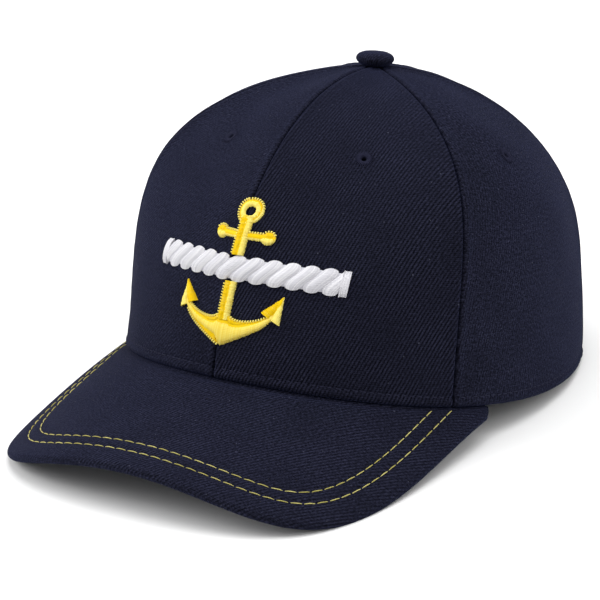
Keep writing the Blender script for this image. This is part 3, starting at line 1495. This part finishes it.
def left_band(across):
    """The upper edge of the deep band along the left arm's lower edge."""
    wide = 2.3 * np.clip(1.1 + across / ARM["half"], 0, 1) * np.clip(-across / 2, 0, 1)
    return arm_low(across) + wide


def fluke_whole(side):
    return np.concatenate([fluke_edges(side, barb)[:, 1:] for barb in ("inner", "outer")], 1)


def shank_edges(left, right, upper):
    low, high = SHANK["bottom"], ROPE["above"] - ROPE_CLEAR
    if upper:
        low, high = ROPE["above"] + ROPE_CLEAR, SHANK["top"]
    return straight_edges(left, right, low, high)


print("beads", BEAD["pitch"], "mm apart, over deep gold held back by", HELD_BACK, "mm")

# %% [markdown]
# Two tables list the anchor from the cloth up: the pads with their heights, the fills with
# their tones and heights, and the edges that carry beads. The rope covers the middle of the
# shank, so the anchor is in two pieces, above and below it.

# %% Pads, fills and beaded edges
ring, half = RING_SHAPE, SHANK["half"]
ANCHOR_TOP = {
    "pads": [
        (circle_edges(ring["inner"], ring["outer"] - HELD_BACK), 1.0),
        (shank_edges(-half + HELD_BACK, half, True), 1.2),
        (stock_edges(-1, 1), 1.1),
    ],
    "fills": [
        (circle_edges(ring["middle"], ring["outer"] - HELD_BACK, 15, 300), DEEP, 1.35),
        (circle_edges(ring["middle"], ring["outer"], -60, 15), PALE, 1.35),
        (circle_edges(ring["inner"], ring["middle"] + 0.15), PALE, 1.5),
        (stock_edges(-0.1, 0.8), DEEP, 1.45),
        (stock_edges(-1, 0), PALE, 1.4),
        (shank_edges(-half + HELD_BACK, 0.1, True), DEEP, 1.75),
        (shank_edges(0, half, True), PALE, 1.75),
    ],
    "beaded": [
        circle_edges(ring["inner"], ring["outer"] - ON_EDGE, 10, 290)[:, 1],
        stock_edges(-1, 0.88)[:, 1],
        shank_edges(-half + ON_EDGE, 0, True)[:, 0],
    ],
}
ANCHOR_ARMS = {
    "pads": [
        (arm_edges(arm_low, arm_high, -0.99, 0.99), 1.1),
        (shank_edges(-half + HELD_BACK, half, False), 1.2),
        (fluke_whole(-1), 1.0),
        (fluke_whole(1), 1.0),
    ],
    "fills": [
        (arm_edges(left_band, upper_band), MIDDLE, 1.35),
        (arm_edges(lambda x: arm_low(x) + HELD_BACK, left_band, -0.95, -0.06), DEEP, 1.3),
        (arm_edges(upper_band, lambda x: arm_high(x) - HELD_BACK, -0.97, 0.97), DEEP, 1.45),
        (shank_edges(-half + HELD_BACK, 0.1, False), DEEP, 1.75),
        (shank_edges(0, half, False), PALE, 1.75),
        (fluke_edges(-1, "outer"), PALE, 1.45),
        (fluke_edges(-1, "inner"), DEEP, 1.45),
        (fluke_edges(1, "inner"), DEEP, 1.45),
        (fluke_edges(1, "outer"), PALE, 1.45),
    ],
    "beaded": [
        arm_edges(arm_low, lambda x: arm_high(x) - ON_EDGE, -0.9, -0.14)[:, 1],
        arm_edges(arm_low, lambda x: arm_high(x) - ON_EDGE, 0.14, 0.9)[:, 1],
        arm_edges(lambda x: arm_low(x) + ON_EDGE, arm_high, -0.95, 0)[:, 0],
        shank_edges(-half + ON_EDGE, 0, False)[:, 0],
    ],
}
print("fills", len(ANCHOR_TOP["fills"]), "above the rope and", len(ANCHOR_ARMS["fills"]), "below it")

# %% Make the anchor


def make_anchor_part(name, pads, fills, beaded):
    for number, (edges, height) in enumerate(pads):
        pad(f"{name}_pad_{number}", moved(edges, ANCHOR_ACROSS), height, THREADS["gold"], "gold_thread")
    threads = [satin(moved(edges, ANCHOR_ACROSS), tone, bow) for edges, tone, bow in fills]
    threads += [beads(moved(line, ANCHOR_ACROSS)) for line in beaded]
    embroider(name, THREADS["gold"], "gold_thread", [name + "_embroidery"], threads)


make_anchor_part("anchor_top", **ANCHOR_TOP)
make_anchor_part("anchor_arms", **ANCHOR_ARMS)

# %% [markdown]
# A rope lies across the anchor. It is a row of slanted strands, each an S that leans over the
# next one, and each filled with long white threads that follow its lean. At both ends a short
# whipping of upright threads holds the strands.

# %% The rope
STRAND = {"threads": 15, "radius": 0.29}
WHIPPING = {"threads": 6, "pitch": 0.46, "from_end": 0.3}
ROPE_STEPS = np.linspace(-1, 1, 10)
ROUND_OVER = (1 - (ROPE_STEPS * 0.97) ** 2) ** 0.5
ROPE_FOOT = 0.15


def strand_fill(index):
    """The threads of one strand of the rope."""
    width = 2 * ROPE["half"] / ROPE["strands"]
    middle = -ROPE["half"] + width * (index + 0.5)
    share = (np.arange(STRAND["threads"]) + 0.5)[:, None] / STRAND["threads"] * 2 - 1
    lean = ROPE["slant"] * 0.5 * np.sin(ROPE_STEPS * math.pi / 2)
    belly = share * width * 0.52 * (1 - 0.35 * np.abs(ROPE_STEPS) ** 3)
    reach = ROPE["radius"] * (1 - 0.13 * share ** 2)
    end = ROPE["half"] - WHIPPING["threads"] * WHIPPING["pitch"]
    across = np.clip(middle + lean + belly, -end, end)
    flat = np.stack([across + ROPE["across"], ROPE["above"] + ROPE_STEPS * reach], -1)
    height = 0.25 + 1.25 * (1 - 0.85 * share ** 2)
    places, normals = on_front(flat, ROPE_FOOT + height * ROUND_OVER)
    return places, normals, np.array([random.uniform(0.2, 1.0) for _ in share])


def whipping(side):
    """The upright threads round one end of the rope."""
    from_end = WHIPPING["from_end"] + np.arange(WHIPPING["threads"])[:, None] * WHIPPING["pitch"]
    across = side * (ROPE["half"] - from_end) + ROPE["across"]
    above = ROPE["above"] + ROPE_STEPS * (ROPE["radius"] - 0.25)
    flat = np.stack(np.broadcast_arrays(across, above), -1)
    lift = np.tile(ROPE_FOOT + 1.55 * ROUND_OVER, (WHIPPING["threads"], 1))
    places, normals = on_front(flat, lift)
    return places, normals, np.array([random.uniform(0.3, 0.8) for _ in across])


def rope_pad():
    across = np.linspace(-ROPE["half"] + 0.5, ROPE["half"] - 0.5, 40) + ROPE["across"]
    edges = edge_pairs(*[(across, ROPE["above"] + side * (ROPE["radius"] - 0.4)) for side in (-1, 1)])
    pad("rope_pad", edges, 0.8, THREADS["white"], "white_thread", columns=10)


rope_pad()
strands = [strand_fill(i) for i in range(-1, ROPE["strands"] + 1)] + [whipping(side) for side in (-1, 1)]
embroider("rope", THREADS["white"], "white_thread", ["rope_embroidery"], strands, STRAND["radius"])
